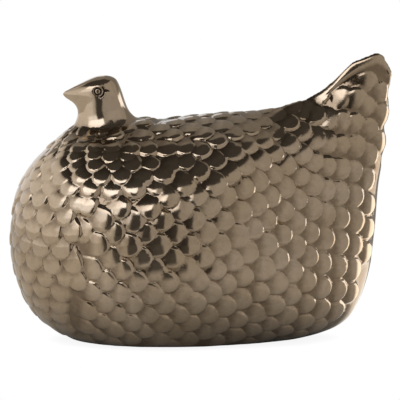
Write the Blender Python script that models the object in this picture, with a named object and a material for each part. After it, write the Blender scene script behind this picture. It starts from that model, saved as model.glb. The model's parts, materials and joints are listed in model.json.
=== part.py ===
"""Hen figurine: one hollow ceramic casting with carved feather scales.

The beak points to -X, the tail to +X, and the hen stands on z = 0.
Lengths below are in millimetres; the mesh is in metres.
"""

import math
import random

import bmesh
import bpy
import numpy as np
from mathutils import Vector
from mathutils.bvhtree import BVHTree

MM = 0.001

# Plain shape of the body, seen from the side
NOSE_X = -150.1
END_X = 148.5
BACK_LINE = (
    (-150.1, 80.5), (-146.9, 110.0), (-142.2, 124.0), (-135.1, 136.2), (-125.6, 148.0),
    (-114.6, 158.0), (-104.3, 165.0), (-90.9, 170.0), (-75.1, 173.0), (-49.1, 176.0),
    (-32.1, 175.8), (-7.1, 176.8), (19.8, 179.3), (50.6, 183.0), (71.1, 187.8),
    (82.6, 192.0), (93.7, 198.0), (102.7, 206.2), (111.9, 214.6), (122.5, 221.4),
    (131.1, 225.0), (138.0, 227.4), (142.6, 225.8), (146.2, 221.6), (148.5, 216.5),
)
BELLY_LINE = (
    (-150.1, 80.5), (-148.9, 63.7), (-144.9, 46.4), (-137.9, 30.4), (-128.0, 16.8),
    (-117.7, 9.0), (-107.4, 2.8), (-90.9, -3.4), (-79.0, -6.8), (-55.3, -11.5),
    (-19.0, -13.4), (15.8, -10.8), (39.5, -6.8), (59.3, -3.0), (86.1, 0.6),
    (112.2, 5.6), (130.5, 15.4), (140.0, 31.0), (146.4, 51.0), (148.5, 62.0),
)
# How far the rear edge stands behind END_X at each height
REAR_LINE = (
    (0.0, -14.0), (62.0, -12.2), (90.0, -9.6), (122.0, -7.4), (141.3, -4.4),
    (175.0, -0.8), (209.3, 1.8), (216.5, 0.4), (230.0, 0.0),
)
TAIL_LOBES = 3
TAIL_LOBE_TOP = 222.0
TAIL_LOBE_PITCH = 26.5
TAIL_LOBE_DEPTH = 3.0

# Plan shape of the body
HALF_WIDTH = 83.0
WIDEST_X = -24.0
FRONT_FULLNESS = 2.2
REAR_FULLNESS = 1.9
REAR_POINT = 0.75
RIDGE_HALF_THICKNESS = 6.0
EDGE_ROUNDING = 7.0

# Where along x the upper body narrows to the tail, and where the ridge grows out of it
NARROWING_X = (15.0, 125.0)
RIDGE_GROWTH_X = (20.0, 95.0)

# Head and neck, as level slices from the crown down: height, front, back, half width, nose shape
HEAD_SLICES = (
    (209.6, -76.5, -76.5, 0.0, 0.50),
    (208.6, -83.5, -70.5, 7.0, 0.50),
    (206.4, -89.0, -67.2, 10.6, 0.52),
    (202.6, -97.0, -65.3, 13.2, 0.62),
    (198.9, -104.8, -63.9, 14.4, 0.85),
    (196.0, -110.0, -62.8, 14.9, 1.05),
    (193.2, -108.8, -62.0, 15.2, 1.00),
    (189.8, -103.0, -60.9, 15.4, 0.80),
    (186.6, -99.2, -59.7, 15.6, 0.60),
    (181.5, -97.2, -57.3, 16.2, 0.50),
    (176.0, -98.0, -51.8, 17.8, 0.50),
    (171.0, -101.6, -44.0, 20.8, 0.50),
    (166.0, -107.0, -36.5, 26.0, 0.50),
    (160.0, -110.5, -30.0, 34.0, 0.50),
    (150.0, -113.0, -24.0, 44.0, 0.50),
    (115.0, -100.0, -22.0, 46.0, 0.50),
)

# Casting
WALL = 4.0
POUR_HOLE_RADIUS = 19.0
POUR_HOLE_X = -15.0

# Feather scales: full width, spacing of the rows on the breast and of the columns on the flank,
# then the form of one scale: its height, the width of its rounded rim, how much of the height its
# root has, and how far its sides and its tip droop
SCALE_WIDTH = 19.4
ROW_PITCH = 12.0
COLUMN_PITCH = 11.6
COLUMN_LEAN = math.radians(9.0)
SCALE_HEIGHT = 2.9
RIM_WIDTH = 3.2
ROOT_HEIGHT = 0.08
DROOP_ACROSS = 0.24
DROOP_ALONG = 0.12
OVERLAP = 0.53
CROWDING = 0.62
FEATHER_REACH = 9.0
SMALLEST_SCALE = 0.72
GROWTH_REACH = (10.0, 70.0)
TAIL_SCALE = 0.9
TAIL_X = (70.0, 115.0)
TAIL_Z = (95.0, 150.0)
SIZE_JITTER = 0.09
HEIGHT_JITTER = 0.22
SWING_JITTER = 0.24
PLACE_JITTER = 1.4
SEED = 11

# Which way the feathers point: away from the neck near it, straight down on the breast,
# to the rear on the flank. Then turns of so many degrees down, over ranges of x and of z
BREAST_X = (-116.0, -84.0)
LEAN_X = (-90.0, -40.0)
BREAST_HALF_WIDTH = 40.0
AWAY_FROM_NECK_DROP = (35.0, 80.0)
AWAY_FROM_NECK_X = (-20.0, 60.0)
TURNS = (
    (12.0, (-60.0, 0.0), (60.0, 15.0)),
    (-22.0, (70.0, 120.0), (110.0, 180.0)),
    (42.0, (-60.0, -20.0), (125.0, 150.0)),
    (-42.0, (60.0, 110.0), (125.0, 150.0)),
)

# Where the feathers are lower: a share of their height, and over which range
LOW_DOWN = (0.45, (45.0, 5.0))
NEAR_TOP = (0.5, (24.0, 4.0), (0.0, 60.0))
TO_REAR = (0.12, (0.0, 80.0))
ON_TAIL = 0.58

# Where the feathers start round the neck, and where breast rows meet flank columns
NECK_X = -75.0
NECK_Z = 172.0
NECK_CLEAR = 26.0
FIRST_ROW_Z = 162.0
COLLAR_RADIUS = 62.0
COLLAR_DEPTH = 50.0
COLLAR_CENTRE_Z = 110.0
FOLD_X = -90.0
FOLD_MOVE = 10.0
FOLD_DROP = (50.0, 110.0)
BEHIND_NECK_X = -25.0
LEVEL_Z = 80.0
REAR_COLUMN_X = (125.0, 142.0)
REAR_COLUMN_RISE = 85.0

# Smooth parts: the head and neck, and the top edge of the tail
SMOOTH_NECK_Z = 175.0
SMOOTH_NECK_FADE = 10.0
SMOOTH_NECK_SLOPE = 0.45
SMOOTH_NECK_RADIUS = 20.0
SMOOTH_NECK_REACH = 60.0
NECK_HEIGHT = 1.3
RIDGE_BAND = 10.0
RIDGE_START = 92.0
RIDGE_X = (82.0, 107.0)
CARVING_FLOOR = -0.9

# Feather tips that end the smooth neck
TIP_COUNT = 9
TIP_HALF_WIDTH = 5.6
TIP_LENGTH = 1.4
TIP_SHARE = 0.5
TIP_CENTRE = (-77.0, 0.0, 135.0)
TIP_LIFT = 48.0
TIP_SIDE_LIFT = 4.0
TIP_STAGGER = 2.0

# Eye
EYE_X = -81.7
EYE_Z = 198.3
EYE_RING_RADIUS = 2.6
EYE_RING_THICKNESS = 0.6

# Mesh
VOXEL = 1.8
SMOOTH_STEPS = 8
OUTER_TRIANGLES = 9600
INNER_TRIANGLES = 1100


def clear_scene():
    for item in list(bpy.data.objects):
        bpy.data.objects.remove(item, do_unlink=True)


def smoothstep(value, low, high):
    t = np.clip((value - low) / (high - low), 0.0, 1.0)
    return t * t * (3.0 - 2.0 * t)


def smooth_curve(points, x, origin=None):
    """A curve through the points without overshoot; from an origin it starts like a round nose."""
    table = np.array(points, float)
    if origin is not None:
        table[:, 0] = np.sqrt(np.maximum(table[:, 0] - origin, 0.0))
        x = np.sqrt(np.maximum(np.asarray(x, float) - origin, 0.0))
    xs, ys = table[:, 0], table[:, 1]
    step = np.diff(xs)
    slope = np.diff(ys) / step
    tangent = np.zeros(len(xs))
    same_way = slope[:-1] * slope[1:] > 0
    total = step[:-1] + step[1:]
    before = (total + step[1:]) / (3.0 * total)
    mixed = before * slope[1:] + (1.0 - before) * slope[:-1]
    product = slope[:-1] * slope[1:]
    tangent[1:-1][same_way] = (product / np.where(mixed == 0, 1.0, mixed))[same_way]
    tangent[0], tangent[-1] = slope[0], slope[-1]
    x = np.clip(x, xs[0], xs[-1])
    i = np.clip(np.searchsorted(xs, x, side="right") - 1, 0, len(step) - 1)
    h = step[i]
    t = (x - xs[i]) / h
    return (
        (2 * t**3 - 3 * t**2 + 1) * ys[i]
        + (t**3 - 2 * t**2 + t) * h * tangent[i]
        + (-2 * t**3 + 3 * t**2) * ys[i + 1]
        + (t**3 - t**2) * h * tangent[i + 1]
    )


def half_width(x):
    ahead = np.clip((WIDEST_X - x) / (WIDEST_X - NOSE_X), 0.0, 1.0)
    behind = np.clip((x - WIDEST_X) / (END_X - WIDEST_X), 0.0, 1.0)
    front = np.sqrt(1.0 - ahead**FRONT_FULLNESS)
    rear = (1.0 - behind**REAR_FULLNESS) ** REAR_POINT
    return HALF_WIDTH * np.where(x < WIDEST_X, front, rear)


def oval(t, low_power, high_power):
    """Width of a section at the share t of its height, 1 at its widest."""
    widest = low_power / (low_power + high_power)
    return (t / widest) ** low_power * ((1.0 - t) / (1.0 - widest)) ** high_power


def rear_shift(z):
    """Moves the rear end to the true rear edge, with the lobes of the tail."""
    shift = smooth_curve(REAR_LINE, z)
    turn = (TAIL_LOBE_TOP - z) / TAIL_LOBE_PITCH
    lobe = np.abs(np.sin(math.pi * turn)) ** 0.8
    inside = (turn > 0) & (turn < TAIL_LOBES)
    return shift + np.where(inside, TAIL_LOBE_DEPTH * (lobe - 0.75), 0.0)


def body_rings(inset):
    """Upright slices of the body from nose to tail: (x, z, half width) at each point."""
    q = np.linspace(0.0, 1.0, 90)
    x_plain = NOSE_X + inset + (END_X - NOSE_X - 2.0 * inset) * (1.0 - np.cos(math.pi * q)) / 2.0
    t = (1.0 - np.cos(math.pi * np.linspace(0.0, 1.0, 57))) / 2.0
    x = x_plain[:, None]
    known = NOSE_X + (x - x_plain[0]) * (END_X - NOSE_X) / (x_plain[-1] - x_plain[0])
    top = smooth_curve(BACK_LINE, known, NOSE_X) - inset
    bottom = smooth_curve(BELLY_LINE, known, NOSE_X) + inset
    middle = (top + bottom) / 2.0
    top, bottom = np.maximum(top, middle), np.minimum(bottom, middle)
    z = bottom + (top - bottom) * t
    narrow = 0.5 + smoothstep(known, *NARROWING_X)
    wide = np.maximum(half_width(known) - inset, 0.0) * oval(t[None, :], 0.5, narrow)
    blade = np.maximum(RIDGE_HALF_THICKNESS - inset, 0.0) * smoothstep(known, *RIDGE_GROWTH_X)
    left = np.clip((END_X - known) / EDGE_ROUNDING, 0.0, 1.0)
    blade = blade * np.sqrt(1.0 - (1.0 - left) ** 2) * oval(t[None, :], 0.5, 0.5)
    follow = smoothstep(known, 0.0, END_X)
    return x + follow * rear_shift(z), z, wide + blade


def head_rings(inset):
    """Level slices of the head and neck, from the crown down."""
    table = np.array(HEAD_SLICES)
    depth = table[0, 0] - table[:, 0]
    q = np.linspace(0.0, 1.0, 70) ** 1.6
    level = depth[-1] * q
    front, back, width, nose = (
        smooth_curve(np.column_stack((depth, table[:, i])), level, 0.0) for i in (1, 2, 3, 4)
    )
    u = (1.0 - np.cos(math.pi * np.linspace(0.0, 1.0, 41))) / 2.0
    middle = (front + back) / 2.0
    front = np.minimum(front + inset, middle)[:, None]
    back = np.maximum(back - inset, middle)[:, None]
    width = np.maximum(width - inset, 0.0)[:, None]
    x = front + (back - front) * u
    y = width * oval(u[None, :], nose[:, None], 0.5)
    z = (table[0, 0] - inset - level * (1.0 - inset / depth[-1]))[:, None] + 0.0 * x
    return x, z, y


def shell(bm, x, z, y, floor):
    """Adds a closed skin over half-width slices and their mirror image."""
    rows, columns = x.shape
    loops = []
    for i in range(rows):
        near = [(x[i, j], -y[i, j], z[i, j]) for j in range(columns)]
        far = [(x[i, j], y[i, j], z[i, j]) for j in range(columns - 2, 0, -1)]
        points = [(a * MM, b * MM, max(c, floor) * MM) for a, b, c in near + far]
        loops.append([bm.verts.new(p) for p in points])
    count = len(loops[0])
    for first, second in zip(loops, loops[1:]):
        for j in range(count):
            k = (j + 1) % count
            bm.faces.new((first[j], first[k], second[k], second[j]))
    bm.faces.new(loops[0][::-1])
    bm.faces.new(loops[-1])


def new_object(name, bm):
    mesh = bpy.data.meshes.new(name)
    bm.to_mesh(mesh)
    bm.free()
    item = bpy.data.objects.new(name, mesh)
    bpy.context.scene.collection.objects.link(item)
    return item


def apply_modifiers(item):
    graph = bpy.context.evaluated_depsgraph_get()
    graph.update()
    mesh = bpy.data.meshes.new_from_object(item.evaluated_get(graph))
    item.modifiers.clear()
    item.data = mesh


def plain_hen(name, inset, voxel, steps):
    """The smooth hen without feathers, every surface moved in by the inset."""
    bm = bmesh.new()
    shell(bm, *body_rings(inset), inset)
    shell(bm, *head_rings(inset), inset)
    bmesh.ops.remove_doubles(bm, verts=bm.verts, dist=0.02 * MM)
    bmesh.ops.recalc_face_normals(bm, faces=bm.faces)
    item = new_object(name, bm)
    remesh = item.modifiers.new("one_skin", "REMESH")
    remesh.mode = "VOXEL"
    remesh.voxel_size = voxel * MM
    smooth = item.modifiers.new("soften", "SMOOTH")
    smooth.factor = 0.5
    smooth.iterations = steps
    apply_modifiers(item)
    return item


def points_of(mesh):
    points = np.empty(len(mesh.vertices) * 3)
    mesh.vertices.foreach_get("co", points)
    return points.reshape(-1, 3) / MM


def normals_of(mesh):
    normals = np.empty(len(mesh.vertices) * 3)
    mesh.vertices.foreach_get("normal", normals)
    return normals.reshape(-1, 3)


def tree_of(item):
    bm = bmesh.new()
    bm.from_mesh(item.data)
    tree = BVHTree.FromBMesh(bm)
    bm.free()
    return tree


def surface_hit(tree, start, direction):
    """The outermost surface point along a ray from inside, with its normal."""
    point, normal, _, _ = tree.ray_cast(Vector(start) * MM, Vector(direction))
    if point is None:
        return None
    return np.array(point) / MM, np.array(normal)


def profile(tree, start, directions):
    """Surface points met by a fan of rays, with their distance along the surface."""
    hits = [surface_hit(tree, start, d) for d in directions]
    hits = [hit for hit in hits if hit is not None and hit[0][2] > 1.5]
    points = np.array([hit[0] for hit in hits])
    normals = np.array([hit[1] for hit in hits])
    gaps = np.linalg.norm(np.diff(points, axis=0), axis=1)
    return points, normals, np.concatenate(([0.0], np.cumsum(gaps)))


def heading(point):
    """Which way a feather points, in the side view: 0 is to the tail, a quarter turn is down."""
    x, z = point[0], point[2]
    drop = NECK_Z - z
    radial = math.atan2(max(drop, 0.0), x - NECK_X)
    plain = 0.5 * math.pi * (1.0 - float(smoothstep(x, *BREAST_X)))
    plain += lean(x) * float(smoothstep(x, *LEAN_X))
    share = float(smoothstep(drop, *AWAY_FROM_NECK_DROP))
    share = max(share, float(smoothstep(x, *AWAY_FROM_NECK_X)))
    turn = radial * (1.0 - share) + plain * share
    for degrees, x_range, z_range in TURNS:
        turn += math.radians(degrees) * float(smoothstep(x, *x_range) * smoothstep(z, *z_range))
    return turn


def feather_frame(point, normal):
    """The direction of a feather and its side direction, both in the surface."""
    turn = heading(point)
    ahead = np.array((math.cos(turn), 0.0, -math.sin(turn)))
    if point[0] < NECK_X and abs(point[1]) < BREAST_HALF_WIDTH:
        outward = np.array((point[0] - NECK_X, point[1], 0.0))
        outward /= max(np.linalg.norm(outward), 1e-6)
        ahead = ahead * 0.2 + outward * 0.3 + np.array((0.0, 0.0, -1.0))
    ahead = ahead - normal * float(ahead @ normal)
    ahead /= np.linalg.norm(ahead)
    return ahead, np.cross(normal, ahead)


def collar_places(tree):
    """Rings round the neck, carried down over the whole breast."""
    turns = np.radians(np.arange(0.0, 181.0, 4.0))
    lifts = np.radians(np.arange(66.0, -72.0, -1.5))
    start = (NECK_X, 0.0, COLLAR_CENTRE_Z)
    lines = []
    for turn in turns:
        fan = [
            (math.cos(turn) * math.cos(up), math.sin(turn) * math.cos(up), math.sin(up))
            for up in lifts
        ]
        points, normals, run = profile(tree, start, fan)
        from_neck = run - np.interp(-FIRST_ROW_Z, -points[:, 2], run)
        lines.append((points, normals, from_neck))
    places = []
    reach = 0.0
    for row in range(20):
        ring = []
        for points, normals, run in lines:
            if run[-1] < reach:
                continue
            point = np.array([np.interp(reach, run, points[:, i]) for i in range(3)])
            normal = np.array([np.interp(reach, run, normals[:, i]) for i in range(3)])
            ring.append((point, normal / np.linalg.norm(normal)))
        if ring:
            places += along_ring(ring[::-1], row, SCALE_WIDTH * grown(reach))
        reach += ROW_PITCH * grown(reach)
    return [place for place in places if in_collar(place[0])]


def in_collar(point):
    """The collar covers the shoulders, and the breast down to the base."""
    x, _, z = point
    low = NECK_Z - z
    shoulder = math.hypot(x - NECK_X, low) < COLLAR_RADIUS
    shoulder = shoulder and NECK_Z - FIRST_ROW_Z < low < COLLAR_DEPTH
    return shoulder or x < FOLD_X - FOLD_MOVE * float(smoothstep(low, *FOLD_DROP))


def grown(reach):
    """Size of the feathers at a distance from the neck, as a share of their full size."""
    return SMALLEST_SCALE + (1.0 - SMALLEST_SCALE) * float(smoothstep(reach, *GROWTH_REACH))


def size_at(x, z):
    """Size of the feathers by place: small round the neck and on the upright tail."""
    tail = float(smoothstep(x, *TAIL_X) * smoothstep(z, *TAIL_Z))
    return grown(math.hypot(x - NECK_X, NECK_Z - z)) * (1.0 - (1.0 - TAIL_SCALE) * tail)


def along_ring(ring, row, width, start=0.0):
    """Even places along a half ring that starts on the centre plane, each second row shifted."""
    points = np.array([place[0] for place in ring])
    normals = np.array([place[1] for place in ring])
    gaps = np.linalg.norm(np.diff(points, axis=0), axis=1)
    run = np.concatenate(([0.0], np.cumsum(gaps)))
    places = []
    first = (0.0 if row % 2 else 0.5) + start / width
    for reach in np.arange(first, run[-1] / width, 1.0) * width:
        point = np.array([np.interp(reach, run, points[:, i]) for i in range(3)])
        normal = np.array([np.interp(reach, run, normals[:, i]) for i in range(3)])
        if reach == 0.0:
            point[1] = 0.0
            normal[1] = 0.0
        places.append((point, normal / np.linalg.norm(normal)))
    return places


def lean(x):
    """How far the columns of feathers lean over towards the tail, less and less to the rear."""
    return COLUMN_LEAN * (1.0 - float(smoothstep(x, 20.0, END_X)))


def column_line(tree, middle):
    """The skin along one upright column, and how far down it the common level lies."""
    ups = np.radians(np.arange(90.0, -80.0, -2.0))
    rise = (math.sin(lean(middle)), 0.0, math.cos(lean(middle)))
    lifted = REAR_COLUMN_RISE * float(smoothstep(middle, *REAR_COLUMN_X))
    start = (middle, 0.0, COLLAR_CENTRE_Z + lifted)
    fan = [(math.sin(up) * rise[0], math.cos(up), math.sin(up) * rise[2]) for up in ups]
    points, normals, run = profile(tree, start, fan)
    level = float(np.interp(-LEVEL_Z, -points[:, 2], run))
    return list(zip(points, normals)), level


def flank_places(tree):
    """Upright columns over back, flank and tail, each second column shifted."""
    places = []
    middles = np.arange(FOLD_X, END_X, COLUMN_PITCH)
    lines = [column_line(tree, float(middle)) for middle in middles]
    behind = int(np.searchsorted(middles, BEHIND_NECK_X))
    for column, (line, level) in enumerate(lines):
        start = (level - lines[behind][1]) % SCALE_WIDTH if column < behind else 0.0
        for point, normal in along_ring(line, column, SCALE_WIDTH, start):
            x = point[0]
            top = float(smooth_curve(BACK_LINE, x, NOSE_X))
            on_ridge = x > RIDGE_START and point[2] > top - 1.2 * RIDGE_BAND
            on_neck = math.hypot(x - NECK_X, point[1]) < NECK_CLEAR and point[2] > FIRST_ROW_Z
            if not (on_ridge or on_neck or in_collar(point)):
                places.append((point, normal))
    return places


def well_spaced(places):
    """Drops each place that crowds one already kept."""
    kept = []
    for point, normal in places:
        ahead, side = feather_frame(point, normal)
        size = size_at(point[0], point[2])
        clear = True
        for other in kept:
            gap = point - other[0]
            along = float(gap @ ahead) / (CROWDING * size * ROW_PITCH)
            across = float(gap @ side) / (CROWDING * size * SCALE_WIDTH)
            if along * along + across * across < 1.0 and abs(float(gap @ normal)) < 8.0:
                clear = False
                break
        if clear:
            kept.append((point, normal, ahead, side))
    return kept


def make_scales(tree):
    """Every feather scale: centre, normal, direction, side, half width, root length, height."""
    dice = random.Random(SEED)
    scales = []
    for point, normal, ahead, side in well_spaced(collar_places(tree) + flank_places(tree)):
        x, y, z = point
        size = size_at(x, z)
        half = SCALE_WIDTH * OVERLAP * size * (1.0 + dice.uniform(-SIZE_JITTER, SIZE_JITTER))
        root = 1.0 + dice.uniform(-SIZE_JITTER, SIZE_JITTER)
        high = size * (1.0 + dice.uniform(-HEIGHT_JITTER, HEIGHT_JITTER))
        swing = dice.uniform(-SWING_JITTER, SWING_JITTER) if abs(y) > 1.0 else 0.0
        turned = ahead * math.cos(swing) + side * math.sin(swing)
        across = np.cross(normal, turned)
        place = point + turned * dice.uniform(-PLACE_JITTER, PLACE_JITTER)
        scales.append((place, normal, turned, across, half, root, high))
        if abs(y) > 1.0:
            flip = np.array((1.0, -1.0, 1.0))
            frame = (place * flip, normal * flip, turned * flip, across * flip)
            scales.append((*frame, half, root, high))
    return scales + neck_fingers(tree)


def neck_fingers(tree):
    """The long narrow feather tips that end the smooth neck."""
    places = []
    for i in range(TIP_COUNT):
        turn = math.pi * i / (TIP_COUNT - 1)
        up = math.radians(TIP_LIFT + TIP_SIDE_LIFT * math.sin(turn))
        direction = (-math.cos(turn) * math.cos(up), math.sin(turn) * math.cos(up), math.sin(up))
        point, normal = surface_hit(tree, TIP_CENTRE, direction)
        outward = np.array((point[0] - NECK_X, point[1], 0.0))
        outward /= np.linalg.norm(outward)
        ahead = outward * 0.2 - np.array((0.0, 0.0, 1.0))
        ahead -= normal * float(ahead @ normal)
        ahead /= np.linalg.norm(ahead)
        side = np.cross(normal, ahead)
        longer = TIP_STAGGER if i % 2 else 0.0
        sides = (1.0,) if i in (0, TIP_COUNT - 1) else (1.0, -1.0)
        for hand in sides:
            flip = np.array((1.0, hand, 1.0))
            place = (point + ahead * longer) * flip
            across = side * flip
            size = (TIP_HALF_WIDTH, TIP_LENGTH, TIP_SHARE)
            places.append((place, normal * flip, ahead * flip, across, *size))
    return places


def feather_share(points, scales):
    """How far each point is raised by its feather, from 0 in the gaps to about 1 near the tips."""
    order = np.argsort(points[:, 0])
    sorted_x = points[order, 0]
    shares = np.zeros(len(points))
    for place, normal, ahead, side, half, root, high in scales:
        reach = half * (1.0 + root) * 1.05
        low, top = np.searchsorted(sorted_x, (place[0] - reach, place[0] + reach))
        near = order[low:top]
        gap = points[near] - place
        across = (gap @ side) / half
        along = (gap @ ahead) / half
        depth = np.abs(gap @ normal)
        inside = (np.abs(across) < 1.0) & (along < 1.0) & (along > -root - 0.3)
        inside &= depth < FEATHER_REACH
        near, across, along = near[inside], across[inside], along[inside]
        tip = np.where(along > 0.0, np.hypot(along * 0.95, across), np.abs(across))
        edge = (1.0 - tip) * half
        climb = np.clip((along + root + 0.1) / (root + 0.5), 0.0, 1.0)
        lift = 1.0 - (1.0 - climb) ** 2
        rim = np.sin(0.5 * math.pi * np.clip(edge / RIM_WIDTH, 0.0, 1.0))
        droop = DROOP_ACROSS * across**2 + DROOP_ALONG * np.maximum(along, 0.0) ** 2
        share = high * rim * (ROOT_HEIGHT + (1.0 - ROOT_HEIGHT) * lift - droop * lift)
        share = np.where(edge > 0.0, share, 0.0)
        shares[near] = np.maximum(shares[near], share)
    return shares


def plain_share(points):
    """1 on the smooth head, neck and top edge of the tail, 0 where the feathers are."""
    away = np.hypot(points[:, 0] - NECK_X, points[:, 1])
    above = points[:, 2] - SMOOTH_NECK_SLOPE * np.maximum(away - SMOOTH_NECK_RADIUS, 0.0)
    neck = smoothstep(above, SMOOTH_NECK_Z - SMOOTH_NECK_FADE, SMOOTH_NECK_Z)
    neck *= away < SMOOTH_NECK_REACH
    under_top = smooth_curve(BACK_LINE, points[:, 0], NOSE_X) - points[:, 2]
    ridge = smoothstep(-under_top, -RIDGE_BAND, -0.6 * RIDGE_BAND)
    ridge *= smoothstep(points[:, 0], *RIDGE_X)
    return np.maximum(neck, ridge)


def feather_height(points):
    """Height of a full feather at each point: less near the base, the top edge and the rear."""
    x, z = points[:, 0], points[:, 2]
    under_top = smooth_curve(BACK_LINE, x, NOSE_X) - z
    near_top = smoothstep(under_top, *NEAR_TOP[1]) * smoothstep(x, *NEAR_TOP[2])
    on_tail = smoothstep(x, *TAIL_X) * smoothstep(z, *TAIL_Z)
    height = SCALE_HEIGHT * (1.0 - LOW_DOWN[0] * smoothstep(z, *LOW_DOWN[1]))
    height *= (1.0 - NEAR_TOP[0] * near_top) * (1.0 - TO_REAR[0] * smoothstep(x, *TO_REAR[1]))
    return height * (1.0 - ON_TAIL * on_tail)


def carve(item, scales):
    """Moves the skin out along its normals by the carving, and keeps the base flat."""
    mesh = item.data
    points = points_of(mesh)
    feathers = feather_share(points, scales) * feather_height(points)
    height = np.maximum(feathers, NECK_HEIGHT * plain_share(points)) + CARVING_FLOOR
    height *= smoothstep(points[:, 2], 1.0, 7.0)
    moved = points + normals_of(mesh) * height[:, None]
    mesh.vertices.foreach_set("co", (moved * MM).ravel())
    mesh.update()


def cut_below(item, height):
    """Cuts the mesh off flat at a height and closes the cut."""
    bm = bmesh.new()
    bm.from_mesh(item.data)
    everything = bm.verts[:] + bm.edges[:] + bm.faces[:]
    bmesh.ops.bisect_plane(
        bm, geom=everything, plane_co=(0, 0, height * MM), plane_no=(0, 0, 1), clear_inner=True
    )
    rim = [edge for edge in bm.edges if edge.is_boundary]
    bmesh.ops.edgeloop_fill(bm, edges=rim)
    bmesh.ops.recalc_face_normals(bm, faces=bm.faces)
    bm.to_mesh(item.data)
    bm.free()


def stand_flat(item, height):
    """Cuts the hen's foot flat at a height and sets it down on z = 0."""
    cut_below(item, height)
    for vertex in item.data.vertices:
        vertex.co.z = max(vertex.co.z - height * MM, 0.0)


def thin_out(item, triangles):
    """Fewer triangles, most of them kept where the surface bends."""
    item.data.calc_loop_triangles()
    fewer = item.modifiers.new("fewer_triangles", "DECIMATE")
    fewer.ratio = triangles / len(item.data.loop_triangles)
    apply_modifiers(item)


def cutter(item):
    item.hide_render = True
    item.display_type = "WIRE"
    return item


def hollow(item):
    """The cast hollow, a wall's thickness inside the skin, with the pour hole below it."""
    inner = plain_hen("hollow_inside", WALL - CARVING_FLOOR, 3.0, 6)
    thin_out(inner, INNER_TRIANGLES)
    bm = bmesh.new()
    bmesh.ops.create_cone(
        bm,
        cap_ends=True,
        segments=40,
        radius1=POUR_HOLE_RADIUS * MM,
        radius2=POUR_HOLE_RADIUS * MM,
        depth=(WALL + 20.0) * MM,
    )
    bmesh.ops.translate(bm, verts=bm.verts, vec=(POUR_HOLE_X * MM, 0, 0))
    hole = new_object("pour_hole", bm)
    for tool in (inner, hole):
        cut = item.modifiers.new(tool.name, "BOOLEAN")
        cut.operation = "DIFFERENCE"
        cut.solver = "EXACT"
        cut.object = cutter(tool)


def cut_eyes(item, tree):
    """A ring cut round each eye."""
    for hand in (-1.0, 1.0):
        point, normal = surface_hit(tree, (EYE_X, 0.0, EYE_Z), (0.0, hand, 0.0))
        bpy.ops.mesh.primitive_torus_add(
            major_radius=EYE_RING_RADIUS * MM,
            minor_radius=EYE_RING_THICKNESS * MM,
            major_segments=20,
            minor_segments=6,
            location=Vector(point + normal * (NECK_HEIGHT + CARVING_FLOOR)) * MM,
            rotation=Vector(normal).to_track_quat("Z", "Y").to_euler(),
        )
        ring = cutter(bpy.context.object)
        ring.name = "eye_ring_left" if hand < 0 else "eye_ring_right"
        cut = item.modifiers.new(ring.name, "BOOLEAN")
        cut.operation = "DIFFERENCE"
        cut.solver = "EXACT"
        cut.object = ring


def glazed_ceramic():
    material = bpy.data.materials.new("glazed_ceramic")
    material.use_nodes = True
    surface = material.node_tree.nodes["Principled BSDF"]
    surface.inputs["Base Color"].default_value = (0.42, 0.35, 0.27, 1.0)
    surface.inputs["Metallic"].default_value = 0.9
    surface.inputs["Roughness"].default_value = 0.15
    return material


def build_hen():
    hen = plain_hen("hen", 0.0, VOXEL, SMOOTH_STEPS)
    tree = tree_of(hen)
    carve(hen, make_scales(tree))
    stand_flat(hen, 0.35)
    thin_out(hen, OUTER_TRIANGLES)
    stand_flat(hen, 0.02)
    hollow(hen)
    cut_eyes(hen, tree)
    hen.data.materials.append(glazed_ceramic())
    for face in hen.data.polygons:
        face.use_smooth = True
    return hen


clear_scene()
build_hen()
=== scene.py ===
"""The look of the hen figurine: its finely carved, glazed skin, the studio round it and the camera."""

import json
import math
import random

import bmesh
import bpy
import numpy as np
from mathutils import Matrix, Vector
from mathutils.bvhtree import BVHTree

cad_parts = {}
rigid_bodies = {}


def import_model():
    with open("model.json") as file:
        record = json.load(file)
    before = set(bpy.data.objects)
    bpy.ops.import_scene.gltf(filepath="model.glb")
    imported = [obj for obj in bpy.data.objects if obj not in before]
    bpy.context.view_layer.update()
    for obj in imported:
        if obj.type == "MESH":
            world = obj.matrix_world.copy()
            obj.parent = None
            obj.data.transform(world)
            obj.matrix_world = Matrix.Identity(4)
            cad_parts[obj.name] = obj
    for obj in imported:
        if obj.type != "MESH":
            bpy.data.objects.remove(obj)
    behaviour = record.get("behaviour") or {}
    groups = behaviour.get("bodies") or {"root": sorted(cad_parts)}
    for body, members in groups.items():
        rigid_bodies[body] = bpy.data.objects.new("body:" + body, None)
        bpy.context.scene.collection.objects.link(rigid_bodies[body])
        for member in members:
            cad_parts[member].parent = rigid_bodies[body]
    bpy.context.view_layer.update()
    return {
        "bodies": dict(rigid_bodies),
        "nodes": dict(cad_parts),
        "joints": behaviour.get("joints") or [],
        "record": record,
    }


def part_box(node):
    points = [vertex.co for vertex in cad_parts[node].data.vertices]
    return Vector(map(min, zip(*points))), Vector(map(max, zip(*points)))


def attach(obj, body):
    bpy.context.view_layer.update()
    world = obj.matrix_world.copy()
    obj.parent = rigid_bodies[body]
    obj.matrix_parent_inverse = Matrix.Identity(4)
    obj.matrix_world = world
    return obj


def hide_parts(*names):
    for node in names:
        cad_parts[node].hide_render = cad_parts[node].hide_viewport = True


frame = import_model()

MM = 0.001

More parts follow.
